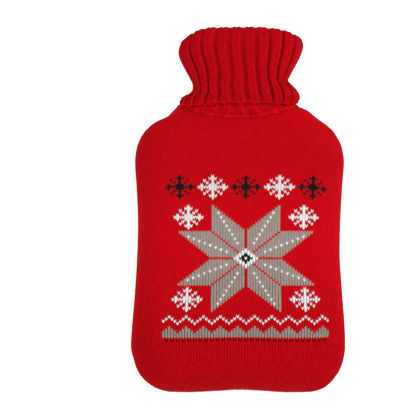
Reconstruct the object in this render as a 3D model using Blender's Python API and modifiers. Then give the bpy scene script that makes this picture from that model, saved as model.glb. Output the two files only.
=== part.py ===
# A knitted hot water bottle cover, lying on its back: the mouth points along +Y and the front faces up.
# Three sewn pieces: the front panel, the back panel, and the ribbed collar that is folded down over itself.
# Sizes are in millimetres here, and metres in the scene.
from math import pi

import bmesh
import bpy
import numpy as np

MM = 0.001

# ---- sizes -------------------------------------------------------------------------------------------
WALL = 2.5            # thickness of the panels' knit
SEAM_GAP = 0.3        # between the two panels, which are sewn to each other
NECK_GAP = 0.35       # between the panels' neck edges and the collar's
CORNER_GAP = 1.5      # what is added to it at the neck seam's two ends, where the cloths slant
SEAM_Z = 20.0         # height of the side and bottom seam above the table
FRONT_ROUND = 31.0    # how far in from the outline the front takes to reach its full height
BACK_ROUND = 24.0     # the same for the back, which is flat where it rests
CROWN = 0.13          # share of its height that the front loses from the middle to the sides
NECK_HALF = 57.2      # half width of the neck seam
NECK_UP = 96.4        # where the neck seam's ends lie
FRONT_DIP, BACK_DIP = 11.8, 8.0   # how far the neck seam dips between its ends
LOW, HIGH = -156.3, 73.3          # where the panels' lower and upper corners lie
DRAW_IN = 0.8         # how far the columns of stitches crowd together at the bottom edge, 0 to 1
COLUMNS_EDGE, COLUMNS_NECK, ROWS = 6, 14, 28

COLLAR_WALL = 3.0
COLLAR_LIP = 2.2      # how far the collar first runs on in line with the panels
FOLD_RISE = 3.4       # from the last row inside to the middle of the cloth at the very top
FOLD_STEPS = 4
RIBS = 22
RIB_STEPS = 5
RIB_RAISE = 1.15      # a rib's top above the middle of the cloth, and its valley below
HEM_SCALLOP = 0.5     # how far each rib hangs past the hem's line
SAG_POWER = 4.0       # how near the sides the top edge starts to drop
SAG_LEAN = 0.12       # how much more it drops on the left than on the right
BACK_LIFT = 0.36      # how much higher it stands at the back, as a share of that drop

BLOCK_SIDE = 500.0    # side of the blocks that part the two panels at the seam
RED = (0.51, 0.006, 0.011, 1.0)

# Side edges: how far out the left and the right edge reach
SIDES = (
    # up, left, right
    (-156.3, 88.1, 90.7),
    (-151.7, 92.6, 94.0),
    (-139.1, 97.7, 98.6),
    (-126.9, 100.0, 100.0),
    (-112.0, 99.2, 99.6),
    (-77.4, 96.3, 97.2),
    (-40.0, 94.1, 95.0),
    (-14.7, 93.5, 95.4),
    (21.7, 94.9, 97.4),
    (44.2, 96.3, 99.1),
    (57.9, 94.6, 97.1),
    (66.6, 91.1, 93.2),
    (73.3, 86.7, 88.8),
)
# Bottom edge, a little drawn in at its middle
BOTTOM = (
    # across, up
    (-88.1, -156.3),
    (-83.6, -160.8),
    (-73.9, -167.2),
    (-62.0, -170.4),
    (-45.0, -170.9),
    (-20.0, -169.9),
    (0.0, -168.8),
    (22.0, -169.6),
    (45.0, -170.9),
    (66.0, -170.6),
    (78.5, -167.6),
    (87.0, -161.0),
    (90.7, -156.3),
)
LEFT_SHOULDER = (
    # across, up
    (-86.7, 73.3),
    (-77.6, 81.6),
    (-71.1, 85.0),
    (-65.3, 87.8),
    (-61.2, 91.9),
    (-57.2, 96.4),
)
RIGHT_SHOULDER = (
    # across, up
    (57.2, 96.4),
    (62.9, 94.2),
    (73.9, 85.5),
    (82.7, 78.9),
    (88.8, 73.3),
)
# Height of the front above the seam, and of the seam above the back, along the middle
RISE = (
    # up, front, back
    (-171.0, 27.0, 20.0),
    (-120.0, 29.5, 20.0),
    (-50.0, 28.5, 20.0),
    (20.0, 27.5, 20.0),
    (62.0, 25.5, 20.0),
    (97.0, 21.5, 11.5),
)
# The collar's cloth: up from the neck seam on the inside, and down on the outside from the fold to the
# hem. dip is how far its front lies below its sides, sag how far its sides lie below its front, turn how
# far the ribs lean round, in degrees, and even and crowd how they are spread round it.
COLLAR_INSIDE = (
    # up, left, right, half_depth, middle_z, dip, sag, turn, even, crowd
    (101.0, 44.6, 47.2, 20.2, 28.0, 8.6, 0.0, 1.0, 0.0, 0.08),
    (108.0, 35.6, 41.8, 19.6, 28.3, 4.0, 0.0, 0.0, 0.0, 0.07),
    (118.0, 35.0, 38.8, 18.9, 28.3, 1.2, 0.0, 0.0, -0.04, 0.02),
    (134.0, 42.3, 44.3, 19.2, 28.4, 0.0, 1.4, -1.5, 0.10, -0.02),
    (149.0, 46.3, 50.0, 20.4, 28.7, 0.0, 5.6, -2.7, 0.18, -0.03),
    (162.3, 45.8, 51.6, 21.2, 28.9, 0.0, 10.4, -2.2, 0.24, -0.03),
)
COLLAR_OUTSIDE = (
    # up, left, right, half_depth, middle_z, dip, sag, turn, even, crowd
    (162.3, 51.6, 57.4, 25.9, 28.9, 0.0, 10.4, -2.2, 0.24, -0.03),
    (155.0, 52.6, 56.8, 26.2, 29.0, 0.0, 8.0, -2.9, 0.20, -0.03),
    (145.5, 51.8, 54.2, 25.6, 28.8, 0.0, 4.6, -2.6, 0.18, -0.03),
    (134.5, 47.8, 49.6, 24.6, 28.5, 0.0, 1.8, -1.5, 0.16, -0.02),
    (124.8, 43.0, 45.0, 23.8, 28.3, 0.0, 0.4, -0.2, 0.06, -0.01),
    (119.5, 40.4, 43.0, 23.6, 28.2, 0.0, 0.0, 0.0, -0.04, 0.0),
    (114.8, 39.0, 47.0, 23.7, 28.2, 0.0, 0.0, -0.6, -0.10, 0.05),
    (110.5, 39.4, 51.2, 24.2, 28.3, 0.0, 0.0, -0.6, -0.08, 0.07),
    (106.5, 42.3, 53.0, 24.9, 28.4, 0.0, 0.0, 0.5, -0.02, 0.08),
    (103.2, 49.2, 53.2, 25.4, 28.5, 0.0, 0.0, 1.3, 0.0, 0.08),
    (100.4, 50.6, 52.0, 25.7, 28.6, 0.0, 0.0, 1.3, 0.0, 0.08),
)


# ---- the outline -------------------------------------------------------------------------------------
def column(table, index):
    return np.array([row[index] for row in table], float)


def smooth(at, table, index):
    """A smooth curve through one column of a table, against its first column, that never overshoots."""
    known, value = column(table, 0), column(table, index)
    rate = np.diff(value) / np.diff(known)
    before, after = rate[:-1], rate[1:]
    both = np.where(before * after > 0, before + after, 1.0)
    slope = np.concatenate([rate[:1], np.maximum(before * after, 0.0) * 2 / both, rate[-1:]])
    k = np.clip(np.searchsorted(known, at) - 1, 0, len(known) - 2)
    span = known[k + 1] - known[k]
    t = np.clip((at - known[k]) / span, 0.0, 1.0)
    return (
        (1 + 2 * t) * (1 - t) ** 2 * value[k]
        + t * (1 - t) ** 2 * span * slope[k]
        + t * t * (3 - 2 * t) * value[k + 1]
        + t * t * (t - 1) * span * slope[k + 1]
    )


def top_edge(across):
    """The panels' upper edge before the neck seam dips."""
    left, right = smooth(across, LEFT_SHOULDER, 1), smooth(across, RIGHT_SHOULDER, 1)
    return np.where(across < -NECK_HALF, left, np.where(across > NECK_HALF, right, NECK_UP))


def neck_dip(across, dip):
    inside = np.clip(1 - (across / NECK_HALF) ** 2, 0.0, 1.0)
    return dip * inside**0.9


def outline_run():
    """The outline from one end of the neck seam, down and round the bottom, to the other."""
    up = np.linspace(HIGH, LOW, 90)
    low = np.linspace(BOTTOM[0][0], BOTTOM[-1][0], 120)
    left_top = np.linspace(-NECK_HALF, LEFT_SHOULDER[0][0], 24)
    right_top = np.linspace(RIGHT_SHOULDER[-1][0], NECK_HALF, 24)
    runs = (
        np.stack([left_top, smooth(left_top, LEFT_SHOULDER, 1)], 1),
        np.stack([-smooth(up, SIDES, 1), up], 1),
        np.stack([low, smooth(low, BOTTOM, 1)], 1),
        np.stack([smooth(up[::-1], SIDES, 2), up[::-1]], 1),
        np.stack([right_top, smooth(right_top, RIGHT_SHOULDER, 1)], 1),
    )
    return np.concatenate(runs)


def inward(plan):
    """How far each point of the plan lies in from the outline."""
    line = outline_run()
    a, b = line[:-1], line[1:]
    ab = b - a
    length = np.maximum((ab**2).sum(1), 1e-12)
    flat = plan.reshape(-1, 2)
    share = np.clip(((flat[:, None] - a) * ab).sum(2) / length, 0.0, 1.0)
    near = a + share[..., None] * ab
    return np.sqrt(((flat[:, None] - near) ** 2).sum(2).min(1)).reshape(plan.shape[:-1])


# ---- the panels --------------------------------------------------------------------------------------
def panel_points(c, r, dip, front):
    """The outer face at c across, -1 to 1, and r along, 0 to 1."""
    up = LOW + (HIGH - LOW) * r
    half = np.where(c < 0, smooth(up, SIDES, 1), smooth(up, SIDES, 2))
    at_low = c * np.where(c < 0, -BOTTOM[0][0], BOTTOM[-1][0])
    at_high = c * np.where(c < 0, -LEFT_SHOULDER[0][0], RIGHT_SHOULDER[-1][0])
    x = c * half
    y = (
        up
        + (smooth(at_low, BOTTOM, 1) - LOW) * (1 - r) ** 5
        + (top_edge(at_high) - HIGH) * r**5
        - neck_dip(at_high, dip) * r**14
    )
    reach = FRONT_ROUND if front else BACK_ROUND
    share = np.clip(inward(np.stack([x, y], -1)) / reach, 0.0, 1.0)
    full = smooth(y, RISE, 1 if front else 2)
    if front:
        full = full * (1 - CROWN * (x / 97.0) ** 2)
    height = full * np.sqrt(1 - (1 - share) ** 2)
    height[(np.abs(c) == 1) | (r == 0) | ((r == 1) & (np.abs(x) > NECK_HALF - 1e-6))] = 0.0
    return np.stack([x, y, SEAM_Z + (height if front else -height)], -1)


def even(point_at, first, last, steps):
    """Values from first to last that walk along point_at in equal steps."""
    fine = np.linspace(first, last, 400)
    points = point_at(fine)
    walked = np.concatenate([[0.0], np.cumsum(np.linalg.norm(np.diff(points, axis=0), axis=1))])
    return np.interp(np.linspace(0.0, walked[-1], steps + 1), walked, fine)


def panel_grid(dip, front):
    """Rows of points from the bottom seam up, each from left to right."""
    ends = (-1.0, NECK_HALF / LEFT_SHOULDER[0][0], NECK_HALF / RIGHT_SHOULDER[-1][0], 1.0)
    steps = (COLUMNS_EDGE, COLUMNS_NECK, COLUMNS_EDGE)

    def across(c):
        return panel_points(c, np.full_like(c, 0.45), FRONT_DIP, True)

    def along(r):
        return panel_points(np.zeros_like(r), r, FRONT_DIP, True)

    c = np.concatenate([even(across, ends[i], ends[i + 1], steps[i])[(i > 0):] for i in range(3)])
    r = even(along, 0.0, 1.0, ROWS)
    c_grid, r_grid = np.meshgrid(c, r)
    # Towards the bottom edge the columns draw in a little.
    drawn = DRAW_IN * np.clip(1 - r_grid / 0.3, 0.0, 1.0) ** 2
    spread = np.linspace(-1.0, 1.0, len(c))
    return panel_points(c_grid * (1 - drawn) + spread * drawn, r_grid, dip, front)


def neck_edge(grid, front):
    """A panel's edge at the neck seam, and which way its cloth faces there."""
    neck = slice(COLUMNS_EDGE, COLUMNS_EDGE + COLUMNS_NECK + 1)
    facing = np.cross(np.gradient(grid, axis=1), np.gradient(grid, axis=0))[-1, neck]
    facing = facing if front else -facing
    facing[[0, -1], 2] = 0.0
    return grid[-1, neck], facing / np.linalg.norm(facing, axis=1, keepdims=True)


# ---- the collar --------------------------------------------------------------------------------------
def rib_form(turned):
    """1 on a rib, which is two stitches wide, and -1 in the valley between two."""
    return np.clip(1.6 * np.cos(RIBS * turned) + 0.5, -1.0, 1.0)


def sewn_rings(turned, front, back):
    """The first two rings of the collar's cloth: at the neck seam, and a little on in the panels' line."""
    at = NECK_HALF * np.sin(turned)
    sides = []
    for edge, facing in (front, back):
        outer = np.stack([np.interp(at, edge[:, 0], edge[:, k]) for k in range(3)], 1)
        towards = np.stack([np.interp(at, edge[:, 0], facing[:, k]) for k in range(3)], 1)
        sides.append((outer - towards * WALL / 2, towards))
    upper = np.cos(turned)[:, None] >= 0
    ring, facing = (np.where(upper, sides[0][k], sides[1][k]) for k in (0, 1))
    around = np.roll(ring, -1, axis=0) - np.roll(ring, 1, axis=0)
    leaving = np.cross(facing, around)
    leaving *= np.sign(leaving[:, 1:2]) / np.linalg.norm(leaving, axis=1, keepdims=True)
    gap = NECK_GAP + CORNER_GAP * np.sin(turned)[:, None] ** 20
    return [ring + leaving * gap, ring + leaving * (gap + COLLAR_LIP)]


def collar_ring(turned, row):
    up, left, right, half_depth, middle_z, dip, sag, turn, evened, crowd = row
    angle = turned - crowd * np.sin(turned) - evened * np.sin(2 * turned) / 2 + np.radians(turn)
    aside = np.sin(angle)
    half_width = (left + right) / 2 + (right - left) / 2 * aside
    out_x = aside / half_width
    out_z = np.cos(angle) / half_depth
    raised = RIB_RAISE * rib_form(turned) / np.hypot(out_x, out_z)
    x = half_width * aside + raised * out_x
    z = middle_z + half_depth * np.cos(angle) + raised * out_z
    drop = (1 - SAG_LEAN * aside) * np.abs(aside) ** SAG_POWER - BACK_LIFT * (1 - np.cos(angle)) / 2
    y = up - neck_dip(NECK_HALF * np.sin(turned), dip) - sag * drop
    return np.stack([x, y, z], 1)


def fold_rows():
    """Rows round the fold at the top, between the last row inside and the first outside."""
    inside, outside = np.array(COLLAR_INSIDE[-1]), np.array(COLLAR_OUTSIDE[0])
    rows = []
    for step in range(1, FOLD_STEPS):
        over = pi * step / FOLD_STEPS
        row = inside + (outside - inside) * (1 - np.cos(over)) / 2
        row[0] += FOLD_RISE * np.sin(over)
        rows.append(tuple(row))
    return tuple(rows)


def collar_rings(front, back):
    turned = np.arange(RIBS * RIB_STEPS) * 2 * pi / (RIBS * RIB_STEPS)
    rows = COLLAR_INSIDE + fold_rows() + COLLAR_OUTSIDE
    rings = sewn_rings(turned, front, back) + [collar_ring(turned, row) for row in rows]
    rings[-1][:, 1] -= HEM_SCALLOP * rib_form(turned)
    return rings


# ---- building ----------------------------------------------------------------------------------------
def collection(name):
    made = bpy.data.collections.new(name)
    bpy.context.scene.collection.children.link(made)
    return made


def wool(name):
    material = bpy.data.materials.new(name)
    material.use_nodes = True
    shader = material.node_tree.nodes["Principled BSDF"]
    shader.inputs["Base Color"].default_value = RED
    shader.inputs["Roughness"].default_value = 0.9
    material.diffuse_color = RED
    return material


def loft(name, rings, group):
    """A surface through closed rings of points. Where a ring lies on itself, its two sides are joined."""
    rings = np.array(rings)
    rows, columns = rings.shape[:2]
    work = bmesh.new()
    points = [[work.verts.new(point) for point in ring] for ring in rings * MM]
    for j in range(rows - 1):
        for i in range(columns):
            k = (i + 1) % columns
            work.faces.new((points[j][i], points[j][k], points[j + 1][k], points[j + 1][i]))
    bmesh.ops.remove_doubles(work, verts=work.verts, dist=0.01 * MM)
    bmesh.ops.recalc_face_normals(work, faces=work.faces)
    mesh = bpy.data.meshes.new(name)
    work.to_mesh(mesh)
    work.free()
    mesh.shade_smooth()
    mesh.materials.append(wool(name + "_wool"))
    made = bpy.data.objects.new(name, mesh)
    group.objects.link(made)
    return made


def thicken(obj, wall, offset):
    """offset is -1 for cloth that lies inside its surface, and 0 for cloth on both sides of it."""
    solid = obj.modifiers.new("thickness", "SOLIDIFY")
    solid.thickness = wall * MM
    solid.offset = offset


def half_space(name, low, high, group):
    """A block over the whole cover from one height to another, which keeps what lies inside it."""
    bpy.ops.mesh.primitive_cube_add(size=1, location=(0, 0, (low + high) / 2 * MM))
    block = bpy.context.object
    block.name = name
    block.scale = (BLOCK_SIDE * MM, BLOCK_SIDE * MM, (high - low) * MM)
    block.hide_render = True
    block.display_type = "WIRE"
    for home in list(block.users_collection):
        home.objects.unlink(block)
    group.objects.link(block)
    return block


def panel(name, rings, keep, group):
    made = loft(name, rings, group)
    thicken(made, WALL, -1)
    cut = made.modifiers.new("cut at the seam", "BOOLEAN")
    cut.operation = "INTERSECT"
    cut.object = keep
    return made


def build():
    for old in list(bpy.data.objects):
        bpy.data.objects.remove(old, do_unlink=True)
    cover = collection("hot_water_bottle_cover")
    cutters = collection("cutters")
    front = panel_grid(FRONT_DIP, True)
    back = panel_grid(BACK_DIP, False)
    body = np.concatenate([front, back[:, ::-1]], axis=1)
    above = half_space("above_seam", SEAM_Z + SEAM_GAP / 2, BLOCK_SIDE / 2, cutters)
    below = half_space("below_seam", -BLOCK_SIDE / 2, SEAM_Z - SEAM_GAP / 2, cutters)
    panel("front_panel", body, above, cover)
    panel("back_panel", body, below, cover)
    neck_edges = neck_edge(front, True), neck_edge(back, False)
    thicken(loft("collar", collar_rings(*neck_edges), cover), COLLAR_WALL, 0)


build()
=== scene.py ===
import bpy
import numpy as np
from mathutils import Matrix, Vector


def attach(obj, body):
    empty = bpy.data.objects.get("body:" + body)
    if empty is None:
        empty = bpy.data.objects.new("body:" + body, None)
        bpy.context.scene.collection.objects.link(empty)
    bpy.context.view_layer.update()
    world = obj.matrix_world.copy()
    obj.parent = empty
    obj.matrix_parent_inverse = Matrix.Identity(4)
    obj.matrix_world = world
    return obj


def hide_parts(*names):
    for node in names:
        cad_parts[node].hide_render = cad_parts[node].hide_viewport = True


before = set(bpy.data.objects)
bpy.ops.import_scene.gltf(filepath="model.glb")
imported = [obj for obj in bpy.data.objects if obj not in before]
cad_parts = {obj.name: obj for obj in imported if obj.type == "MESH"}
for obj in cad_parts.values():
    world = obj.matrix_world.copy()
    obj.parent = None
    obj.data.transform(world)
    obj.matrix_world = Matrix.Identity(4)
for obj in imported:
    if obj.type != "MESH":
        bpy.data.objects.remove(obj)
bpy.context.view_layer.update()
bpy.ops.object.select_all(action="DESELECT")

MM = 0.001            # metres
TINY = 1e-12          # stands in for a length of nothing where it divides

# ---- the cover's form --------------------------------------------------------------------------------
WALL = 2.5            # thickness of the panels' knit
SEAM_GAP = 0.3        # between the two panels, which are sewn to each other
NECK_TUCK = 0.8       # how far the collar's edge is sewn in under the panels' neck edges
SEAM_Z = 20.0         # height of the side and bottom seam above the table
FRONT_ROUND = 31.0    # how far in from the outline the front takes to reach its full height
BACK_ROUND = 24.0     # the same for the back, which is flat where it rests
CROWN = 0.13          # share of its height that the front loses from the middle to the sides
CROWN_HALF = 97.0     # how far from the middle it has lost that much
NECK_HALF = 57.2      # half width of the neck seam
NECK_UP = 96.4        # where the neck seam's ends lie
FRONT_DIP, BACK_DIP = 11.8, 8.0   # how far the neck seam dips between its ends
DIP_ROUND = 0.9       # how full the curve of that dip is
LOW, HIGH = -156.3, 73.3          # where the panels' lower and upper corners lie
EDGE_FADE = 5         # how soon the rows straighten on the way in from the lower and the upper edge
DIP_FADE = 14         # how soon they lose the neck seam's dip
EVEN_AT = 0.45        # how far along a panel its columns of stitches are all of one width
DRAW_IN = 0.8         # how far they are of one width in the plan instead, at the bottom edge, 0 to 1
DRAW_REACH = 0.3      # over what share of the panel's length that fades
SIDE_POINTS, BOTTOM_POINTS, SHOULDER_POINTS = 90, 120, 24    # points along each run of the outline
AT_ONCE = 3000        # points that are measured against the outline at a time
WALK_POINTS = 1200    # points along a line that is divided into equal steps

# Side edges: how far out the left and the right edge reach
SIDES = (
    # up, left, right
    (-156.3, 90.0, 90.7),
    (-151.7, 93.3, 94.0),
    (-139.1, 97.7, 98.6),
    (-126.9, 100.0, 100.0),
    (-112.0, 99.2, 99.6),
    (-77.4, 96.3, 97.2),
    (-40.0, 94.1, 95.0),
    (-14.7, 93.5, 95.4),
    (21.7, 94.9, 97.4),
    (44.2, 96.3, 99.1),
    (57.9, 94.6, 97.1),
    (66.6, 91.1, 93.2),
    (73.3, 86.7, 88.8),
)
# Bottom edge, a little drawn in at its middle
BOTTOM = (
    # across, up
    (-90.0, -156.3),
    (-85.4, -161.1),
    (-75.6, -167.4),
    (-62.5, -170.7),
    (-45.0, -170.9),
    (-20.0, -169.9),
    (0.0, -168.8),
    (22.0, -169.6),
    (45.0, -170.9),
    (66.0, -170.6),
    (78.5, -167.6),
    (87.0, -161.0),
    (90.7, -156.3),
)
LEFT_SHOULDER = (
    # across, up
    (-86.7, 73.3),
    (-77.6, 81.6),
    (-71.1, 85.0),
    (-65.3, 87.8),
    (-61.2, 91.9),
    (-57.2, 96.4),
)
RIGHT_SHOULDER = (
    # across, up
    (57.2, 96.4),
    (62.9, 94.2),
    (73.9, 85.5),
    (82.7, 78.9),
    (88.8, 73.3),
)
# Height of the front above the seam, and of the seam above the back, along the middle
RISE = (
    # up, front, back
    (-171.0, 27.0, 20.0),
    (-120.0, 29.5, 20.0),
    (-50.0, 28.5, 20.0),
    (20.0, 27.5, 20.0),
    (62.0, 25.5, 20.0),
    (97.0, 21.5, 11.5),
)

# ---- the panels' stitches ----------------------------------------------------------------------------
WALES, COURSES = 86, 136          # columns and rows of stitches in a panel
ACROSS, ALONG = 4, 2              # mesh steps in one stitch
INSIDE_STEP = 8                   # mesh steps of the outer face to one of the inner face
STITCH_V = (0.42, 0.0, -0.42, 0.0)        # how far the row lines lean into a V, in rows of stitches
STITCH_RIDGE = (-0.42, 0.24, -0.10, 0.24)  # the two legs of the V, and the valleys beside them
STITCH_BELLY = (-0.10, 0.12)      # each leg swells between one row and the next
STITCH_REACH = 1.5                # how far in from a seam the stitches are at their full depth
STRAIGHT_ROWS = 3                 # mesh rows over which the V straightens at a sheet's ends
UNEVEN = 0.18                     # how much one stitch differs from the next
RIM_CURL, RIM_REACH = 0.8, 1.5    # how far a sewn edge turns in, and over what width
PRESSED = 0.8                     # how far the back gives where it rests
SEAM_SCALLOP = (0.75, 0.1, -0.5, 0.1)    # how the neck seam dips at each column of stitches
SCALLOP_UNEVEN = (0.1, 2.0)       # the least and the most share of that dip that a mesh column has
SCALLOP_REACH = 2.2               # how far it reaches into the panel
SCALLOP_END = 8.0                 # over what width it fades at the ends of the neck seam
SCALLOP_SEED = 100                # added to the panel's own seed
LUMP = 0.45                       # how far the cloth is from a fair surface
LUMP_SIZES = (34.0, 47.0, 63.0, 88.0)    # the widths of its lumps and hollows
LUMP_REACH = 14.0                 # how far in from a seam they are at their full depth
SHADE_UNEVEN = 0.03               # how much one stitch's colour differs from the next
# Painted shade darkens a stitch in its valleys: from where the relief is below SHADOW_FROM, over
# SHADOW_SPAN.
SHADOW_FROM, SHADOW_SPAN = 0.25, 0.65
SHADOW_POWER = 2.5                # how closely the dark keeps to the bottom of the valley
SHADOW_LIFT = 0.3                 # how much lighter the legs come out
SHADOW = 0.9                      # how dark it is in all
SHADOW_MOST = 1.4                 # the darkest that anything gets
SHADOW_EDGE = 0.5                 # how dark a turned in edge is, and the inner face
# The knit lies flattest in the upper half of a panel, and stands out most near the bottom edge. The same
# table sets its painted shade.
MARKED = (
    # up, how deep the stitches are, how strong the painted shade between their legs is, how much painted
    # shade the whole cloth gets there
    (-171.0, 1.3, 1.1, 0.33),
    (-125.0, 1.5, 1.2, 0.43),
    (-80.0, 1.0, 0.8, 0.32),
    (-20.0, 0.8, 0.35, 0.23),
    (50.0, 0.7, 0.25, 0.44),
    (76.0, 0.9, 0.6, 0.38),
    (97.0, 1.0, 0.8, 0.26),
)

# ---- the collar --------------------------------------------------------------------------------------
COLLAR_WALL = 3.0     # thickness of the collar's knit
COLLAR_LIP = 2.2      # how far the collar first runs on in line with the panels
FOLD_RISE = 3.4       # from the last row inside to the middle of the cloth at the very top
FOLD_STEPS = 6        # steps from the last row inside, over the fold, to the first outside
RIBS = 22
RIB_STEPS = 14        # mesh steps to a rib: four for each of its two wales, and six for the valley
RIB_SHARE, PINCHED = 0.60, 0.14   # share of a rib's width that its wales take, and what the sides add
RIB_COURSES = 68      # rows of stitches from the neck seam to the hem
SIDE_DEPTH = 0.35     # how much deeper the valleys are at the sides than in the middle
HEM_SCALLOP = 0.3     # how far each rib hangs past the hem's line
SAG_POWER = 4.0       # how near the sides the top edge starts to drop
SAG_LEAN = 0.12       # how much more it drops on the left than on the right
BACK_LIFT = 0.36      # how much higher it stands at the back, as a share of that drop
BUNCH = 0.11          # how far the ribs on the right crowd towards the front
RIB_V = (0.42, 0.0, -0.42, 0.0)           # the lean of the row lines on a rib
RIB_RIDGE = (-0.50, 0.32, -0.30, 0.32)    # the two legs of the V on a rib, and the valleys beside them
VALLEY_RIDGE = -0.05  # the same for the cloth between the ribs, which has no legs
SIDE_POWER = 1.5      # how near the sides the ribs start to pinch and their valleys to deepen
RIGHT_DEPTH = 0.12    # how much deeper still the valleys are on the right
SEWN_RAISE = (0.0, 0.35)         # how far the ribs stand out at the neck seam, and where the lip ends
RIB_DOME = 0.3        # how much lower a rib's sides are than its middle
VALLEY_DROP = 1.7     # how far down from a rib's side the valley goes
VALLEY_SIDE = 0.11    # width of the step down to it, as a share of the rib
CREST_RISE = 0.25     # how much higher the ribs stand at the very top
RIB_BELLY, VALLEY_BELLY = 0.17, 0.12      # how each stitch swells, on the ribs and in the valleys
SEAM_SPLAY, SEAM_SPLAY_REACH = 1.2, 16.0  # how much the stitches splay where the cloth is sewn on
HEM_SPLAY, HEM_SPLAY_REACH = 0.8, 5.0     # and at the hem
CREASE_AT, CREASE, CREASE_WIDTH = 3.8, 0.35, 0.8     # a shallow crease that runs below the fold
COLLAR_LUMP, LUMP_CROWD = 0.35, 1.6       # the lumps' depth, and how much closer they lie than a panel's
COLLAR_CURL = 0.9     # how far the sewn edge turns in
END_DRAW_IN, END_SHORT = 2.6, 0.7         # at the neck seam's ends the lip leads in, and is shorter
END_POWER = 20        # how near the ends it starts to
JUST_BELOW = 0.985    # a row of the panel next to its neck edge
NECK_POINTS = 121     # points along the neck edge of one panel
HEM_REACH = 8.0       # over what width the cloth follows the hem's uneven line
HEM_LOBE, LOBE_UNEVEN = 1.1, (0.4, 1.5)   # how far each rib and valley bulges there, and the range of that
DROOP, DROOP_AT, DROOP_WIDTH = 1.9, -42.0, 16.0      # the hem hangs lowest near its left tip
HEM_TURNS = (40, 90, 140)        # degrees round the hem's edge at which it has a row of points
HEM_FULL, CAST_OFF = 1.05, 0.22  # how full that edge is, and how its stitches swell
COLLAR_SHADE_UNEVEN = 0.06
TONE = 0.92           # how light the red is over most of the collar, as a share of the yarn's colour
SEAM_PAINTED_LIGHT, SEAM_PAINTED_LIGHT_REACH = 0.42, 16.0   # painted light: how much lighter it gets towards the neck seam, where the hem's shadow falls
HEM_TONE, HEM_TONE_REACH = 0.2, 2.5       # and at the hem's edge
RIB_SHADOW_SPAN = 0.75           # the ribs' stitches darken over more depth than a panel's do
FOLD_SHADOW, FOLD_SHADOW_WIDTH = 0.15, 3.0           # how dark the cloth is along the fold
RIB_VALLEY_SHADOW, RIB_SIDE_SHADOW = 0.45, 1.1       # how dark the valleys are, and what the sides add
FULL_RAISE = 1.4      # how far the ribs stand out where their valleys are as dark as that
SIDE_SHADOW_POWER = 4            # how near the sides they start to darken further
HEM_SHADOW = 0.35     # how dark the hem's edge is
# The collar's cloth: up from the neck seam on the inside, and down on the outside from the fold to the hem
COLLAR_INSIDE = (
    # up, left, right, half_depth, middle_z, dip, sag, turn, even, crowd, raise
    (101.0, 44.6, 47.2, 20.2, 28.0, 8.6, 0.0, 1.0, 0.0, 0.08, 0.7),
    (108.0, 35.6, 41.8, 19.6, 28.3, 4.0, 0.0, 0.0, 0.0, 0.07, 0.9),
    (118.0, 35.0, 38.8, 18.9, 28.3, 1.2, 0.0, 0.0, -0.04, 0.02, 1.1),
    (134.0, 42.3, 44.3, 19.2, 28.4, 0.0, 1.4, -1.5, 0.10, -0.02, 1.0),
    (149.0, 46.3, 50.0, 20.4, 28.7, 0.0, 5.6, -2.7, 0.18, -0.03, 0.8),
    (162.3, 45.8, 51.6, 21.2, 28.9, 0.0, 10.4, -2.2, 0.24, -0.03, 0.5),
)
COLLAR_OUTSIDE = (
    # up, left, right, half_depth, middle_z, dip, sag, turn, even, crowd, raise
    (162.3, 51.6, 57.4, 25.9, 28.9, 0.0, 10.4, -2.2, 0.24, -0.03, 0.65),
    (155.0, 52.6, 56.8, 26.2, 29.0, 0.0, 8.0, -2.9, 0.20, -0.03, 1.0),
    (145.5, 51.8, 54.2, 25.6, 28.8, 0.0, 4.6, -2.6, 0.18, -0.03, 1.25),
    (134.5, 47.8, 49.6, 24.6, 28.5, 0.0, 1.8, -1.5, 0.16, -0.02, 1.3),
    (124.8, 43.0, 45.0, 23.8, 28.3, 0.0, 0.4, -0.2, 0.06, -0.01, 1.4),
    (119.5, 40.4, 43.0, 23.6, 28.2, 0.0, 0.0, 0.0, -0.04, 0.0, 1.4),
    (114.8, 39.0, 47.0, 23.7, 28.2, 0.0, 0.0, -0.6, -0.10, 0.05, 1.4),
    (110.5, 39.4, 51.2, 24.2, 28.3, 0.0, 0.0, -0.6, -0.08, 0.07, 1.4),
    (106.5, 42.3, 53.0, 24.9, 28.4, 0.0, 0.0, 0.5, -0.02, 0.08, 1.7),
    (103.2, 49.2, 53.2, 25.4, 28.5, 0.0, 0.0, 1.3, 0.0, 0.08, 1.6),
    (99.3, 52.2, 52.0, 25.7, 28.6, 0.0, 0.0, 1.3, 0.0, 0.08, 0.8),
)

# ---- yarns -------------------------------------------------------------------------------------------
RED = (0.56, 0.0012, 0.0062)
TAUPE = (0.345, 0.281, 0.246)
WHITE = (0.80, 0.80, 0.805)
BLACK = (0.011, 0.009, 0.010)
YARNS = np.array((RED, TAUPE, WHITE, BLACK))
IN_RED, IN_TAUPE, IN_WHITE, IN_BLACK = range(4)      # their places in it


# ---- the outline -------------------------------------------------------------------------------------
def column(table, index):
    return np.array([row[index] for row in table], float)


def smooth(at, table, index):
    """A smooth curve through one column of a table, against its first column, that never overshoots."""
    known, value = column(table, 0), column(table, index)
    rate = np.diff(value) / np.diff(known)
    before, after = rate[:-1], rate[1:]
    both = np.where(before * after > 0, before + after, 1.0)
    slope = np.concatenate([rate[:1], np.maximum(before * after, 0.0) * 2 / both, rate[-1:]])
    k = np.clip(np.searchsorted(known, at) - 1, 0, len(known) - 2)
    span = known[k + 1] - known[k]
    t = np.clip((at - known[k]) / span, 0.0, 1.0)
    return (
        (1 + 2 * t) * (1 - t) ** 2 * value[k]
        + t * (1 - t) ** 2 * span * slope[k]
        + t * t * (3 - 2 * t) * value[k + 1]
        + t * t * (t - 1) * span * slope[k + 1]
    )


def top_edge(across):
    """The panels' upper edge before the neck seam dips."""
    left, right = smooth(across, LEFT_SHOULDER, 1), smooth(across, RIGHT_SHOULDER, 1)
    return np.where(across < -NECK_HALF, left, np.where(across > NECK_HALF, right, NECK_UP))


def neck_dip(across, dip):
    inside = np.clip(1 - (across / NECK_HALF) ** 2, 0.0, 1.0)
    return dip * inside**DIP_ROUND


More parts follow.
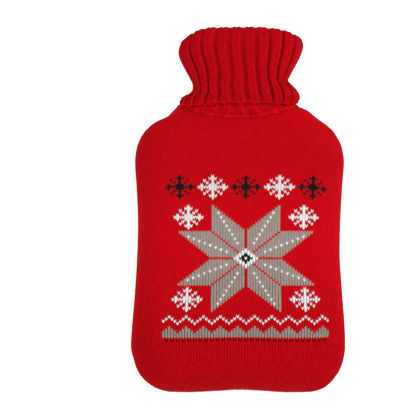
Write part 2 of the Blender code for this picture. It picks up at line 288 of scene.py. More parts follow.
def outline_run():
    """The outline from one end of the neck seam, down and round the bottom, to the other."""
    up = np.linspace(HIGH, LOW, SIDE_POINTS)
    low = np.linspace(BOTTOM[0][0], BOTTOM[-1][0], BOTTOM_POINTS)
    left_top = np.linspace(-NECK_HALF, LEFT_SHOULDER[0][0], SHOULDER_POINTS)
    right_top = np.linspace(RIGHT_SHOULDER[-1][0], NECK_HALF, SHOULDER_POINTS)
    runs = (
        np.stack([left_top, smooth(left_top, LEFT_SHOULDER, 1)], 1),
        np.stack([-smooth(up, SIDES, 1), up], 1),
        np.stack([low, smooth(low, BOTTOM, 1)], 1),
        np.stack([smooth(up[::-1], SIDES, 2), up[::-1]], 1),
        np.stack([right_top, smooth(right_top, RIGHT_SHOULDER, 1)], 1),
    )
    return np.concatenate(runs)


def inward(plan):
    """How far each point of the plan lies in from the outline."""
    line = outline_run()
    a, b = line[:-1], line[1:]
    ab = b - a
    length = np.maximum((ab**2).sum(1), TINY)
    flat = plan.reshape(-1, 2)
    found = []
    for part in np.array_split(flat, len(flat) // AT_ONCE + 1):
        share = np.clip(((part[:, None] - a) * ab).sum(2) / length, 0.0, 1.0)
        near = a + share[..., None] * ab
        found.append(np.sqrt(((part[:, None] - near) ** 2).sum(2).min(1)))
    return np.concatenate(found).reshape(plan.shape[:-1])


# ---- the panels' surface -----------------------------------------------------------------------------
def panel_points(c, r, dip, front):
    """The outer face at c across, -1 to 1, and r along, 0 to 1, how far each point is from the sewn edge,
    and which points lie on it."""
    up = LOW + (HIGH - LOW) * r
    half = np.where(c < 0, smooth(up, SIDES, 1), smooth(up, SIDES, 2))
    at_low = c * np.where(c < 0, -BOTTOM[0][0], BOTTOM[-1][0])
    at_high = c * np.where(c < 0, -LEFT_SHOULDER[0][0], RIGHT_SHOULDER[-1][0])
    x = c * half
    y = (
        up
        + (smooth(at_low, BOTTOM, 1) - LOW) * (1 - r) ** EDGE_FADE
        + (top_edge(at_high) - HIGH) * r**EDGE_FADE
        - neck_dip(at_high, dip) * r**DIP_FADE
    )
    distance = inward(np.stack([x, y], -1))
    reach = FRONT_ROUND if front else BACK_ROUND
    share = np.clip(distance / reach, 0.0, 1.0)
    full = smooth(y, RISE, 1 if front else 2)
    if front:
        full = full * (1 - CROWN * (x / CROWN_HALF) ** 2)
    height = full * np.sqrt(1 - (1 - share) ** 2)
    sewn = (np.abs(c) == 1) | (r == 0) | ((r == 1) & (np.abs(x) > NECK_HALF - 1e-6))
    height[sewn] = 0.0
    z = SEAM_Z + (SEAM_GAP / 2 + height if front else -SEAM_GAP / 2 - height)
    return np.stack([x, y, z], -1), np.hypot(height, distance), sewn


def even(point_at, first, last, steps):
    """Values from first to last that walk along point_at in equal steps."""
    fine = np.linspace(first, last, WALK_POINTS)
    points = point_at(fine)
    walked = np.concatenate([[0.0], np.cumsum(np.linalg.norm(np.diff(points, axis=0), axis=1))])
    return np.interp(np.linspace(0.0, walked[-1], steps + 1), walked, fine)


def unit(vectors):
    return vectors / np.maximum(np.linalg.norm(vectors, axis=-1, keepdims=True), TINY)


def bell(away, width):
    """1 where away is nothing, and about a third where it is the width."""
    return np.exp(-((away / width) ** 2))


def lumps(points, seed):
    """A slow, uneven rise and fall over the cloth, -1 to 1."""
    chance = np.random.default_rng(seed)
    total = np.zeros(points.shape[:-1])
    for size in LUMP_SIZES:
        lean, start = chance.uniform(0, np.pi), chance.uniform(0, 2 * np.pi)
        along = points[..., 0] * np.cos(lean) + points[..., 1] * np.sin(lean)
        total += np.sin(2 * np.pi * along / size + start) / 4
    return total


def stitch_relief(rows, columns, seed):
    """How far each mesh point of plain knit stands off the cloth's surface."""
    chance = np.random.default_rng(seed)
    k, q = np.arange(rows)[:, None], np.arange(columns)[None]
    ridge = np.array(STITCH_RIDGE)[q % ACROSS]
    belly = np.array(STITCH_BELLY)[k % ALONG] * (ridge > 0)
    uneven = 1 + UNEVEN * chance.standard_normal((rows // ALONG + 1, columns // ACROSS + 1))
    return ridge * uneven[k // ALONG, q // ACROSS] + belly


def panel_surface(front):
    """The panel's outer face without its stitches, which way it faces, and how far each point is from any
    seam and from the neck seam."""
    dip = FRONT_DIP if front else BACK_DIP

    def across(c):
        return panel_points(c, np.full_like(c, EVEN_AT), FRONT_DIP, True)[0]

    def along(r):
        return panel_points(np.zeros_like(r), r, FRONT_DIP, True)[0]

    c = even(across, -1.0, 1.0, WALES * ACROSS)
    r = even(along, 0.0, 1.0, COURSES * ALONG)
    k = np.arange(len(r))[:, None]
    lean = np.array(STITCH_V)[np.arange(len(c)) % ACROSS] * ALONG
    from_end = np.clip(np.minimum(k, len(r) - 1 - k) / STRAIGHT_ROWS, 0.0, 1.0)
    r_grid = np.interp(k + lean * from_end, np.arange(len(r)), r)
    # Towards the bottom edge the columns draw in a little.
    drawn = DRAW_IN * np.clip(1 - r_grid / DRAW_REACH, 0.0, 1.0) ** 2
    c_grid = c * (1 - drawn) + np.linspace(-1.0, 1.0, len(c)) * drawn
    points, from_seam, sewn = panel_points(c_grid, r_grid, dip, front)
    facing = np.cross(np.gradient(points, axis=1), np.gradient(points, axis=0))
    facing = facing if front else -facing
    facing[sewn, 2] = 0.0
    steps = np.linalg.norm(np.diff(points, axis=0), axis=2)
    from_neck = np.concatenate([np.cumsum(steps[::-1], axis=0)[::-1], np.zeros((1, len(c)))])
    return points, unit(facing), np.minimum(from_seam, from_neck), from_neck


# ---- the pattern on the front ------------------------------------------------------------------------
PATTERN_WALE, PATTERN_COURSE = 45, 70     # the stitch in the middle of the pattern
PATTERN_SHADE_GAIN = 1.9  # how much stronger the painted shade is between the stitches of the other yarns
STAR = 12             # stitches along each edge of the star's eight petals
CRYSTAL_ARM = 5       # stitches from a frost crystal's middle to its tips
CORNER_ACROSS, CORNER_UP = 21, 19         # where the crystals lie between the star's arms
CRYSTAL_UP = 33       # middle of the row of crystals above the star
CRYSTAL_APART = 12    # stitches from one of them to the next
BAND_DOWN = -33       # middle of the band below the star
BAND_HALF = 29        # stitches from its middle to either end
WAVE = 6              # stitches to one of its waves


def star(i, j):
    """Eight petals of taupe, each with a white vein, around a white and black middle."""
    x, y = np.maximum(np.abs(i), np.abs(j)), np.minimum(np.abs(i), np.abs(j))
    petal = (y >= 1) & (y <= STAR) & (x >= y + 1) & (x <= y + STAR)
    vein = petal & (x == 2 * y + 1) & (y >= 3) & (y <= STAR - 2)
    yarn = np.where(petal, IN_TAUPE, IN_RED)
    yarn[vein] = IN_WHITE
    middle = np.abs(i) + np.abs(j)
    yarn[middle <= 4] = IN_WHITE
    yarn[middle <= 2] = IN_BLACK
    yarn[middle == 0] = IN_WHITE
    return yarn


def crystal(i, j):
    """Where a frost crystal of thin lines has its stitches."""
    x, y = np.maximum(np.abs(i), np.abs(j)), np.minimum(np.abs(i), np.abs(j))
    arm = (y == 0) & (x <= CRYSTAL_ARM)
    slanting = (x == y) & (x <= CRYSTAL_ARM - 2)
    barb = (x == CRYSTAL_ARM - 1) & (y == 1)
    return arm | slanting | barb


def pattern(i, j):
    """The yarn of the stitch i to the right and j up from the pattern's middle."""
    yarn = star(i, j)
    for side in (-1, 1):
        for level in (-1, 1):
            yarn[crystal(i - side * CORNER_ACROSS, j - level * CORNER_UP)] = IN_WHITE
    for k in range(-2, 3):
        yarn[crystal(i - CRYSTAL_APART * k, j - CRYSTAL_UP)] = IN_BLACK if k % 2 == 0 else IN_WHITE
    wide = np.abs(i) <= BAND_HALF
    wave = np.abs((i + WAVE // 2) % WAVE - WAVE // 2)
    from_band = j - BAND_DOWN
    yarn[wide & (from_band == wave + 3)] = IN_WHITE
    yarn[wide & (from_band >= -3) & (from_band <= wave - 2)] = IN_TAUPE
    yarn[wide & (from_band == -5) & (i % 2 == 0)] = IN_BLACK
    return yarn


def yarn_of(front, wale, course):
    """The yarn of each stitch of a panel: the back is all red."""
    wale, course = np.broadcast_arrays(wale, course)
    if front:
        return pattern(wale - PATTERN_WALE, course - PATTERN_COURSE)
    return np.full(wale.shape, IN_RED)


# ---- meshes ------------------------------------------------------------------------------------------
# Where each face lies in the piece's picture, which is 1 wide and 1 high
MARGIN, SPREAD = 0.01, 0.98
OUTER_LOW, OUTER_SPREAD = 0.12, 0.87      # the panel's outer face
OUTER_MIDDLE = (0.5, 0.555)
INNER_SPREAD = 0.09                       # the inner face, in a strip below
RIM_PUSH = 0.008      # how far the edge between them is pushed out from the outer face


def add_layer(mesh, name, values):
    layer = mesh.uv_layers.new(name=name)
    layer.data.foreach_set("uv", np.asarray(values, np.float32).ravel())


def knit_object(name, points, faces, corners, painted_shade, material_of_face, materials):
    """A mesh with its picture layout, its stitch layout, its yarn colours, and the painted shade at each
    point.
    """
    mesh = bpy.data.meshes.new(name)
    mesh.from_pydata((points * MM).tolist(), [], faces)
    add_layer(mesh, "OFBake", corners["place"])
    add_layer(mesh, "stitches", corners["stitch"])
    colour = mesh.color_attributes.new("yarn", "FLOAT_COLOR", "CORNER")
    rgba = np.concatenate([corners["yarn"], np.ones((len(corners["yarn"]), 1))], axis=1)
    colour.data.foreach_set("color", rgba.astype(np.float32).ravel())
    painted_dark = mesh.attributes.new("painted_shade", "FLOAT", "POINT")
    painted_dark.data.foreach_set("value", np.asarray(painted_shade, np.float32))
    for material in materials:
        mesh.materials.append(material)
    mesh.polygons.foreach_set("material_index", np.asarray(material_of_face, np.int32))
    mesh.shade_smooth()
    mesh.update()
    made = bpy.data.objects.new(name, mesh)
    bpy.context.scene.collection.objects.link(made)
    return made


def yarn_shades(count, much, seed):
    """Each stitch is a little lighter or darker than the next."""
    return 1 + much * np.random.default_rng(seed).standard_normal(count)


def panel(name, front, materials, seed):
    base, facing, from_seam, from_neck = panel_surface(front)
    rows, columns = base.shape[:2]
    plain = stitch_relief(rows, columns, seed) * np.clip(from_seam / STITCH_REACH, 0.0, 1.0)
    relief = plain * smooth(base[..., 1], MARKED, 1)
    curl = RIM_CURL * bell(from_seam, RIM_REACH)
    slow = LUMP * lumps(base, seed) - (0.0 if front else PRESSED)
    off = relief - curl + slow * np.clip(from_seam / LUMP_REACH, 0.0, 1.0)
    outer = base + facing * off[..., None]
    chance = np.random.default_rng(seed + SCALLOP_SEED).uniform(*SCALLOP_UNEVEN, columns)
    scallop = np.array(SEAM_SCALLOP)[np.arange(columns) % ACROSS] * chance
    along_neck = np.clip((NECK_HALF - np.abs(base[..., 0])) / SCALLOP_END, 0.0, 1.0)
    outer[..., 1] -= along_neck * scallop * bell(from_neck, SCALLOP_REACH)
    inner = (base - facing * WALL)[::INSIDE_STEP, ::INSIDE_STEP]
    inner_rows, inner_columns = inner.shape[:2]

    at = np.arange(rows * columns).reshape(rows, columns)
    under = rows * columns + np.arange(inner_rows * inner_columns).reshape(inner_rows, inner_columns)
    quads = np.stack([at[:-1, :-1], at[:-1, 1:], at[1:, 1:], at[1:, :-1]], -1).reshape(-1, 4)
    lining = np.stack([under[:-1, :-1], under[1:, :-1], under[1:, 1:], under[:-1, 1:]], -1).reshape(-1, 4)
    edge = np.concatenate([at[0, :-1], at[:-1, -1], at[-1, :0:-1], at[:0:-1, 0]])
    edge_under = np.concatenate([under[0, :-1], under[:-1, -1], under[-1, :0:-1], under[:0:-1, 0]])
    rim = []
    for k in range(len(edge_under)):
        part = [edge[(k * INSIDE_STEP + s) % len(edge)] for s in range(INSIDE_STEP, -1, -1)]
        rim.append(part + [edge_under[k], edge_under[(k + 1) % len(edge_under)]])
    faces = quads.tolist() + lining.tolist() + rim
    if not front:
        faces = [face[::-1] for face in faces]

    u, v = np.meshgrid(np.linspace(0, 1, columns), np.linspace(0, 1, rows))
    place = np.stack([MARGIN + SPREAD * u, OUTER_LOW + OUTER_SPREAD * v], -1).reshape(-1, 2)
    u_in, v_in = np.meshgrid(np.linspace(0, 1, inner_columns), np.linspace(0, 1, inner_rows))
    place_in = np.stack([MARGIN + SPREAD * u_in, MARGIN + INNER_SPREAD * v_in], -1).reshape(-1, 2)
    stitch = np.stack([u * WALES, v * COURSES], -1).reshape(-1, 2)
    stitch_in = np.stack([u_in * WALES, v_in * COURSES], -1).reshape(-1, 2)
    places, stitches = np.concatenate([place, place_in]), np.concatenate([stitch, stitch_in])
    vertex = np.concatenate([places, stitches], axis=1)
    index = np.concatenate([np.ravel(face) for face in faces]).astype(int)
    laid = vertex[index]
    of_rim = np.arange(len(index)) >= 4 * (len(quads) + len(lining))
    tuck = of_rim & (index >= rows * columns)
    # The edge takes its place from the outer face's rim, and its far side lies a little further out.
    size = INSIDE_STEP + 3
    rim_corners = laid[of_rim].reshape(-1, size, 4)
    first, last = (INSIDE_STEP, 0) if front else (2, size - 1)
    swap = (INSIDE_STEP + 1, INSIDE_STEP + 2) if front else (1, 0)
    rim_corners[:, swap[0]] = rim_corners[:, first]
    rim_corners[:, swap[1]] = rim_corners[:, last]
    laid[of_rim] = rim_corners.reshape(-1, 4)
    laid[tuck, :2] += (laid[tuck, :2] - np.array(OUTER_MIDDLE)) * RIM_PUSH

    wale, course = np.meshgrid(np.arange(columns - 1) // ACROSS, np.arange(rows - 1) // ALONG)
    yarn = yarn_of(front, wale, course)
    shade = yarn_shades((COURSES, WALES), SHADE_UNEVEN, seed)[course, wale]
    colour = (YARNS[yarn] * shade[..., None]).reshape(-1, 3)
    bare = np.broadcast_to(YARNS[IN_RED], (len(lining) * 4 + len(rim) * size, 3))
    corners = {
        "place": laid[:, :2],
        "stitch": laid[:, 2:],
        "yarn": np.concatenate([np.repeat(colour, 4, axis=0), bare]),
    }
    column_of = np.minimum(np.arange(columns) // ACROSS, WALES - 1)
    row_of = np.minimum(np.arange(rows) // ALONG, COURSES - 1)
    patterned = yarn_of(front, column_of[None], row_of[:, None]) != IN_RED
    shade_gain = smooth(base[..., 1], MARKED, 2) * np.where(patterned, PATTERN_SHADE_GAIN, 1.0)
    # Painted shade: darker in the valleys between the stitches' legs and lighter on the legs, stronger on
    # the pattern's yarns, set for the whole cloth by height, and darker on a turned-in edge and the inner
    # face.
    valley = np.clip((SHADOW_FROM - plain) / SHADOW_SPAN, 0.0, 1.0) ** SHADOW_POWER
    painted_dark = SHADOW * (valley - SHADOW_LIFT) * shade_gain
    painted_shade = smooth(base[..., 1], MARKED, 3) + painted_dark + SHADOW_EDGE * curl / RIM_CURL
    painted_shade = np.clip(painted_shade, 0.0, SHADOW_MOST)
    painted_shade = np.concatenate([painted_shade.ravel(), np.full(under.size, SHADOW_EDGE)])
    material_of_face = np.concatenate([(yarn != IN_RED).ravel(), np.zeros(len(lining) + len(rim))])
    points = np.concatenate([outer.reshape(-1, 3), inner.reshape(-1, 3)])
    return knit_object(name, points, faces, corners, painted_shade, material_of_face, materials)


# ---- the collar's surface ----------------------------------------------------------------------------
def neck_edge(front, turned):
    """The neck seam's edge of a panel, at each turn round the collar, and which way the cloth faces."""
    dip = FRONT_DIP if front else BACK_DIP
    c = np.linspace(NECK_HALF / LEFT_SHOULDER[0][0], NECK_HALF / RIGHT_SHOULDER[-1][0], NECK_POINTS)
    c_grid, r_grid = np.meshgrid(c, (JUST_BELOW, 1.0))
    points = panel_points(c_grid, r_grid, dip, front)[0]
    facing = np.cross(np.gradient(points, axis=1), np.gradient(points, axis=0))[-1]
    facing = facing if front else -facing
    facing[[0, -1], 2] = 0.0
    facing = unit(facing)
    edge = points[-1]
    at = NECK_HALF * np.sin(turned)
    ring = np.stack([np.interp(at, edge[:, 0], edge[:, k]) for k in range(3)], 1)
    towards = np.stack([np.interp(at, edge[:, 0], facing[:, k]) for k in range(3)], 1)
    return ring - towards * WALL / 2, towards


def sewn_rings(turned):
    """The collar's first two rings: at the neck seam, and a little on in the panels' line."""
    sides = neck_edge(True, turned), neck_edge(False, turned)
    upper = np.cos(turned)[:, None] >= 0
    ring, facing = (np.where(upper, sides[0][k], sides[1][k]) for k in (0, 1))
    around = np.roll(ring, -1, axis=0) - np.roll(ring, 1, axis=0)
    leaving = np.cross(facing, around)
    leaving *= np.sign(leaving[:, 1:2]) / np.linalg.norm(leaving, axis=1, keepdims=True)
    end = np.sin(turned)[:, None] ** END_POWER
    draw_in = end * np.sign(ring[:, :1]) * (-END_DRAW_IN, 0.0, 0.0)
    return [ring - leaving * NECK_TUCK, ring + leaving * COLLAR_LIP * (1 - END_SHORT * end) + draw_in]


def collar_ring(turned, row):
    up, left, right, half_depth, middle_z, dip, sag, turn, evened, crowd, _ = row
    angle = turned - crowd * np.sin(turned) - evened * np.sin(2 * turned) / 2 + np.radians(turn)
    angle -= BUNCH * np.clip(np.sin(turned), 0.0, 1.0) ** 2
    aside = np.sin(angle)
    x = aside * ((left + right) / 2 + (right - left) / 2 * aside)
    z = middle_z + half_depth * np.cos(angle)
    drop = (1 - SAG_LEAN * aside) * np.abs(aside) ** SAG_POWER - BACK_LIFT * (1 - np.cos(angle)) / 2
    y = up - neck_dip(NECK_HALF * np.sin(turned), dip) - sag * drop
    return np.stack([x, y, z], 1)


def fold_rows():
    """Rows round the fold at the top, between the last row inside and the first outside."""
    inside, outside = np.array(COLLAR_INSIDE[-1]), np.array(COLLAR_OUTSIDE[0])
    rows = []
    for step in range(1, FOLD_STEPS):
        over = np.pi * step / FOLD_STEPS
        row = inside + (outside - inside) * (1 - np.cos(over)) / 2
        row[0] += FOLD_RISE * np.sin(over)
        rows.append(tuple(row))
    return tuple(rows)


def rib_places():
    """Where each mesh step lies, in ribs from its own rib's middle, and the share of it that wales take."""
    wales = 2 * ACROSS
    valley = RIB_STEPS - wales
    turned = 2 * np.pi * np.arange(RIBS)[:, None] / RIBS
    share = RIB_SHARE + PINCHED * np.abs(np.sin(turned)) ** SIDE_POWER
    on_rib = -share / 2 + share * np.arange(wales) / wales
    between = share / 2 + (1 - share) * np.arange(valley) / valley
    phase = np.concatenate([on_rib, between], axis=1)
    return phase.ravel(), np.repeat(share.ravel(), RIB_STEPS)


def rib_form(phase, share):
    """1 along a rib's middle, a little less at its sides, and -1 in the valley between two."""
    away = np.abs((phase + 0.5) % 1.0 - 0.5)
    half = share / 2
    on_rib = 1 - RIB_DOME * np.clip(away / half, 0.0, 1.0) ** 3
    down = VALLEY_DROP * np.sin(np.clip((away - half) / VALLEY_SIDE, 0.0, 1.0) * np.pi / 2) ** 2
    return on_rib - down


def through(rings, knots, at):
    """A smooth curve through the rings of points, at the given distances along them, a column at a time."""
    gap = np.diff(knots)
    rate = np.diff(rings, axis=0) / gap[:, None, None]
    inner = (rate[:-1] * gap[1:, None, None] + rate[1:] * gap[:-1, None, None]) / (
        gap[:-1] + gap[1:]
    )[:, None, None]
    slope = np.concatenate([rate[:1], inner, rate[-1:]])
    k = np.clip(np.searchsorted(knots, at) - 1, 0, len(gap) - 1)
    t = ((at - knots[k]) / gap[k])[..., None]
    span = gap[k][..., None]
    q = np.arange(rings.shape[1])[None]
    return (
        (1 + 2 * t) * (1 - t) ** 2 * rings[k, q]
        + t * (1 - t) ** 2 * span * slope[k, q]
        + t * t * (3 - 2 * t) * rings[k + 1, q]
        + t * t * (t - 1) * span * slope[k + 1, q]
    )


def around_gradient(points):
    return (np.roll(points, -1, axis=1) - np.roll(points, 1, axis=1)) / 2


def collar_faces(total, columns, rows, length, seed):
    """The collar's faces, and the place, stitch and yarn colour of their corners."""
    q, r = np.meshgrid(np.arange(columns), np.arange(total))
    next_q, next_r = (q + 1) % columns, (r + 1) % total
    index = np.arange(total * columns).reshape(total, columns)
    faces = np.stack([index[r, q], index[r, next_q], index[next_r, next_q], index[next_r, q]], -1)
    corner_q = np.stack([q, q + 1, q + 1, q], -1).reshape(-1)
    corner_r = np.stack([r, r, r + 1, r + 1], -1).reshape(-1)
    place = np.stack([MARGIN + SPREAD * corner_q / columns, MARGIN + SPREAD * corner_r / total], -1)
    stitch = np.stack([corner_q * 2 / ACROSS, corner_r / ALONG], -1)
    shades = yarn_shades((total // ALONG + 1, columns // 2 + 1), COLLAR_SHADE_UNEVEN, seed)
    from_sewn = np.minimum(r, 2 * rows - r) * (length / rows)
    from_hem = np.abs(r - rows) * (length / rows)
    # The red is painted lighter towards the neck seam, where the hem's shadow falls, and is lighter at the
    # hem's edge.
    tone = TONE + SEAM_PAINTED_LIGHT * bell(from_sewn, SEAM_PAINTED_LIGHT_REACH) + HEM_TONE * bell(from_hem, HEM_TONE_REACH)
    colour = (YARNS[IN_RED] * (shades[r // ALONG, q // 2] * tone)[..., None]).reshape(-1, 3)
    corners = {"place": place, "stitch": stitch, "yarn": np.repeat(colour, 4, axis=0)}
    return faces.reshape(-1, 4).tolist(), corners


def collar(name, materials, seed):
    chance = np.random.default_rng(seed)
    phase, share = rib_places()
    columns = RIBS * RIB_STEPS
    turned = 2 * np.pi * (np.arange(columns) // RIB_STEPS + phase) / RIBS
    table = COLLAR_INSIDE + fold_rows() + COLLAR_OUTSIDE
    rings = np.array(sewn_rings(turned) + [collar_ring(turned, row) for row in table])
    walked = np.linalg.norm(np.diff(rings, axis=0), axis=2).mean(1)
    knots = np.concatenate([[0.0], np.cumsum(walked)])
    rows = RIB_COURSES * ALONG + 1
    step = np.arange(columns) % RIB_STEPS
    on_wale = step < 2 * ACROSS
    k = np.arange(rows)[:, None]
    lean = np.where(on_wale, np.array(RIB_V)[step % ACROSS], 0.0) * ALONG
    from_end = np.clip(np.minimum(k, rows - 1 - k) / STRAIGHT_ROWS, 0.0, 1.0)
    at = (k + lean * from_end) * knots[-1] / (rows - 1)
    middle = through(rings, knots, at)

    # The ribs stand out from the neck's middle, on the inner and the outer layer alike.
    raise_at = np.interp(at, knots, SEWN_RAISE + tuple(row[-1] for row in table))
    aside = np.sin(turned)
    raise_at = raise_at * (1 + SIDE_DEPTH * np.abs(aside) ** SIDE_POWER + RIGHT_DEPTH * aside)
    around = around_gradient(middle)
    out = unit(np.stack([-around[..., 2], np.zeros(at.shape), around[..., 0]], -1))
    form = rib_form(phase, share)[None]
    facing = unit(np.cross(around, np.gradient(middle, axis=0)))
    if facing[-1, 0, 2] < 0:
        facing = -facing
    crest = np.clip(facing[..., 1], 0.0, 1.0)
    middle = middle + out * (raise_at * form)[..., None]
    middle[..., 1] += CREST_RISE * crest * form
    hem = np.clip(1 - (knots[-1] - at) / HEM_REACH, 0.0, 1.0) ** 2
    wales = 2 * ACROSS
    lobe = np.sin(np.pi * np.where(on_wale, step / wales, (step - wales) / (RIB_STEPS - wales)))
    swing = chance.uniform(*LOBE_UNEVEN, 2 * RIBS)[2 * (np.arange(columns) // RIB_STEPS) + ~on_wale]
    middle[..., 1] -= hem * (HEM_SCALLOP * form + HEM_LOBE * lobe * swing)
    middle[..., 1] -= hem * DROOP * bell(middle[..., 0] - DROOP_AT, DROOP_WIDTH)

    uneven = 1 + UNEVEN * chance.standard_normal((RIB_COURSES + 1, columns // 2 + 1))
    ridge = np.where(on_wale, np.array(RIB_RIDGE)[step % ACROSS], VALLEY_RIDGE)
    ridge = ridge * uneven[k // ALONG, np.arange(columns) // 2]
    belly = np.where(on_wale, RIB_BELLY, VALLEY_BELLY) * (k % ALONG * 2 - 1)
    # The stitches splay where the cloth is sewn on and where it is cast off.
    splay = 1 + SEAM_SPLAY * bell(at, SEAM_SPLAY_REACH) + HEM_SPLAY * bell(knots[-1] - at, HEM_SPLAY_REACH)
    fold_at = knots[1 + len(COLLAR_INSIDE) + FOLD_STEPS // 2]
    crease = CREASE * bell(at - fold_at - CREASE_AT, CREASE_WIDTH)
    relief = (ridge + belly) * splay - crease
    wave = COLLAR_LUMP * lumps(middle * LUMP_CROWD, seed)
    # The sewn edge turns in, and the hem's cast-off edge is a little thicker.
    curl = COLLAR_CURL * bell(at, RIM_REACH)
    thick = COLLAR_WALL / 2 + relief - curl
    # One face of the cloth shows outside and in the mouth, and the other lies hidden in the fold.
    shown = middle + facing * (thick + wave)[..., None]
    hidden = middle - facing * (thick - wave)[..., None]
    ahead = unit(middle[-1] - middle[-3])
    cast_off = 1 + CAST_OFF * np.cos(2 * np.pi * step / ACROSS)
    bead = []
    for turn in np.radians(HEM_TURNS):
        sideways = facing[-1] * (COLLAR_WALL / 2 * HEM_FULL * np.cos(turn)) + facing[-1] * wave[-1][:, None]
        onwards = ahead * (COLLAR_WALL / 2 * np.sin(turn) * cast_off)[:, None]
        bead.append(middle[-1] + sideways + onwards)
    points = np.concatenate([shown, np.array(bead), hidden[::-1]])

    # Painted shade: darker in the stitches' valleys, along the fold, on the turned-in edge, in the valleys
    # between the ribs (most at the sides), and on the hem's edge.
    painted_dark = np.clip((SHADOW_FROM - relief) / RIB_SHADOW_SPAN, 0.0, 1.0) * SHADOW
    painted_dark = painted_dark + FOLD_SHADOW * bell(at - fold_at, FOLD_SHADOW_WIDTH)
    painted_dark = np.clip(painted_dark + SHADOW_EDGE * curl, 0.0, 1.0)
    valley_shade = RIB_VALLEY_SHADOW + RIB_SIDE_SHADOW * aside**SIDE_SHADOW_POWER
    painted_dark = painted_dark + np.clip(-form, 0.0, 1.0) * valley_shade * raise_at / FULL_RAISE
    painted_shade = np.concatenate([painted_dark, np.full((len(bead), columns), HEM_SHADOW), painted_dark[::-1]]).ravel()
    faces, corners = collar_faces(len(points), columns, rows, knots[-1], seed)
    points = points.reshape(-1, 3)
    return knit_object(name, points, faces, corners, painted_shade, np.zeros(len(faces)), materials)


# ---- materials ---------------------------------------------------------------------------------------
YARN_RELIEF = 0.0002  # metres that the plies and the fibres stand out
PURE_WHITE = (1.0, 1.0, 1.0, 1.0)
PALE = (0.93, 0.93, 0.93, 1.0)
FLOOR_SIZE = 8.0      # metres


def with_inputs(node, settings):
    """The same node, with some of its inputs set."""
    for name, value in settings.items():
        node.inputs[name].default_value = value
    return node


def wool(name, sheen, tint, shadow):
    """Spun yarn: its colour from the stitches, with painted shade between them, twisted plies and a soft
    nap.
    """
    material = bpy.data.materials.new(name)
    material.use_nodes = True
    tree = material.node_tree
    nodes, links = tree.nodes, tree.links
    shader = with_inputs(
        nodes["Principled BSDF"],
        {
            "Roughness": 0.92,
            "Specular IOR Level": 0.05,
            "Sheen Weight": sheen,
            "Sheen Roughness": 0.45,
            "Sheen Tint": (*tint, 1.0),
        },
    )

    yarn = nodes.new("ShaderNodeVertexColor")
    yarn.layer_name = "yarn"
    painted_shade = nodes.new("ShaderNodeAttribute")
    painted_shade.attribute_name = "painted_shade"
    place = nodes.new("ShaderNodeTexCoord")
    cloud = with_inputs(nodes.new("ShaderNodeTexNoise"), {"Scale": 260.0, "Detail": 3.0})
    links.new(place.outputs["Object"], cloud.inputs["Vector"])
    cloud_range = with_inputs(nodes.new("ShaderNodeMapRange"), {"To Min": 0.95, "To Max": 1.05})
    links.new(cloud.outputs["Fac"], cloud_range.inputs["Value"])
    # Where the painted shade is 1, the colour loses the shadow's share.
    darkening = {"From Max": SHADOW_MOST, "To Min": 1.0, "To Max": 1 - SHADOW_MOST * shadow}
    painted_shade_range = with_inputs(nodes.new("ShaderNodeMapRange"), darkening)
    links.new(painted_shade.outputs["Fac"], painted_shade_range.inputs["Value"])
    level = nodes.new("ShaderNodeMath")
    level.operation = "MULTIPLY"
    links.new(cloud_range.outputs["Result"], level.inputs[0])
    links.new(painted_shade_range.outputs["Result"], level.inputs[1])
    tone = nodes.new("ShaderNodeVectorMath")
    tone.operation = "SCALE"
    links.new(yarn.outputs["Color"], tone.inputs[0])
    links.new(level.outputs["Value"], tone.inputs["Scale"])
    links.new(tone.outputs["Vector"], shader.inputs["Base Color"])

    # The twist of the plies, in the stitches' own layout, and the nap of loose fibres over it
    stitches = nodes.new("ShaderNodeUVMap")
    stitches.uv_map = "stitches"
    twist = with_inputs(nodes.new("ShaderNodeTexWave"), {"Scale": 0.9, "Distortion": 0.6})
    twist.bands_direction = "DIAGONAL"
    links.new(stitches.outputs["UV"], twist.inputs["Vector"])
    nap = with_inputs(nodes.new("ShaderNodeTexNoise"), {"Scale": 2600.0, "Detail": 4.0, "Roughness": 0.7})
    links.new(place.outputs["Object"], nap.inputs["Vector"])
    plies = with_inputs(nodes.new("ShaderNodeBump"), {"Strength": 0.35, "Distance": YARN_RELIEF})
    links.new(twist.outputs["Fac"], plies.inputs["Height"])
    fibres = with_inputs(nodes.new("ShaderNodeBump"), {"Strength": 0.5, "Distance": YARN_RELIEF})
    links.new(nap.outputs["Fac"], fibres.inputs["Height"])
    links.new(plies.outputs["Normal"], fibres.inputs["Normal"])
    links.new(fibres.outputs["Normal"], shader.inputs["Normal"])
    return material


def plain_floor():
    bpy.ops.mesh.primitive_plane_add(size=FLOOR_SIZE, location=(0, 0, 0))
    floor = bpy.context.object
    floor.name = "floor"
    material = bpy.data.materials.new("pale_floor")
    material.use_nodes = True
    # It glows a little, so that it comes out as white as the photo's ground.
    looks = {"Base Color": PALE, "Roughness": 0.8, "Emission Color": PURE_WHITE, "Emission Strength": 0.6}
    with_inputs(material.node_tree.nodes["Principled BSDF"], looks)
    floor.data.materials.append(material)


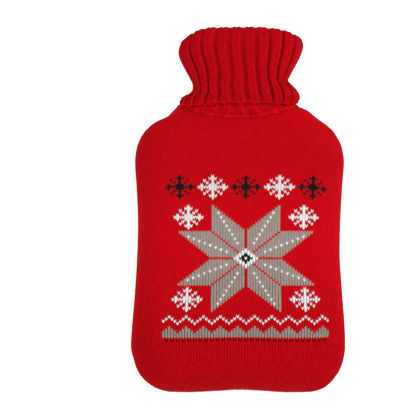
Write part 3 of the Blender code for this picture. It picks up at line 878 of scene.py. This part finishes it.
# ---- light and camera --------------------------------------------------------------------------------
# Where each lamp stands and how wide it is, in metres, and its power in watts
KEY = ((0.75, 0.4, 1.35), 0.8, 11.5)
FILL = ((-0.9, -0.5, 1.1), 0.9, 2.0)
ALL_ROUND = 0.82      # strength of the even light from all sides
SENSOR = 36.0         # width of the camera's picture, in its own millimetres
CAMERA_ABOVE = 1.6    # metres from the level of the side seam, which is at 0.02, up to the camera
SEEN_WIDE = 0.389     # metres across that the picture takes in at that level
CAMERA_AT = (-0.02805, 0.00117, 1.62)


def area_light(name, place, size, power):
    data = bpy.data.lights.new(name, "AREA")
    data.size = size
    data.energy = power
    light = bpy.data.objects.new(name, data)
    light.location = place
    bpy.context.scene.collection.objects.link(light)
    light.rotation_euler = (-Vector(place)).to_track_quat("-Z", "Y").to_euler()


def studio():
    world = bpy.data.worlds.new("studio")
    bpy.context.scene.world = world
    world.use_nodes = True
    with_inputs(world.node_tree.nodes["Background"], {"Color": PURE_WHITE, "Strength": ALL_ROUND})
    area_light("key", *KEY)
    area_light("fill", *FILL)
    bpy.context.scene.view_settings.view_transform = "Standard"


def camera():
    data = bpy.data.cameras.new("camera")
    data.sensor_width = SENSOR
    data.lens = SENSOR * CAMERA_ABOVE / SEEN_WIDE
    made = bpy.data.objects.new("camera", data)
    made.location = CAMERA_AT
    bpy.context.scene.collection.objects.link(made)
    bpy.context.scene.camera = made


# How much sheen each wool has, the sheen's colour, and how dark the painted shade makes the wool between
# its stitches
RED_LOOKS = (0.07, (1.0, 0.12, 0.1), 0.48)
PATTERN_LOOKS = (0.1, (1.0, 1.0, 1.0), 0.7)
# The unevenness of each piece comes from its own seed.
FRONT_SEED, BACK_SEED, COLLAR_SEED = 11, 12, 13


def build():
    red_wool = wool("red_wool", *RED_LOOKS)
    pattern_wool = wool("pattern_wool", *PATTERN_LOOKS)
    materials = (red_wool, pattern_wool)
    front = panel("knit_front", True, materials, FRONT_SEED)
    back = panel("knit_back", False, materials, BACK_SEED)
    neck = collar("knit_collar", (red_wool,), COLLAR_SEED)
    for piece, node, slot in (
        (front, "front_panel", "front_knit"),
        (back, "back_panel", "back_knit"),
        (neck, "collar", "rib_knit"),
    ):
        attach(piece, "root")
        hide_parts(node)
    plain_floor()
    studio()
    camera()


build()
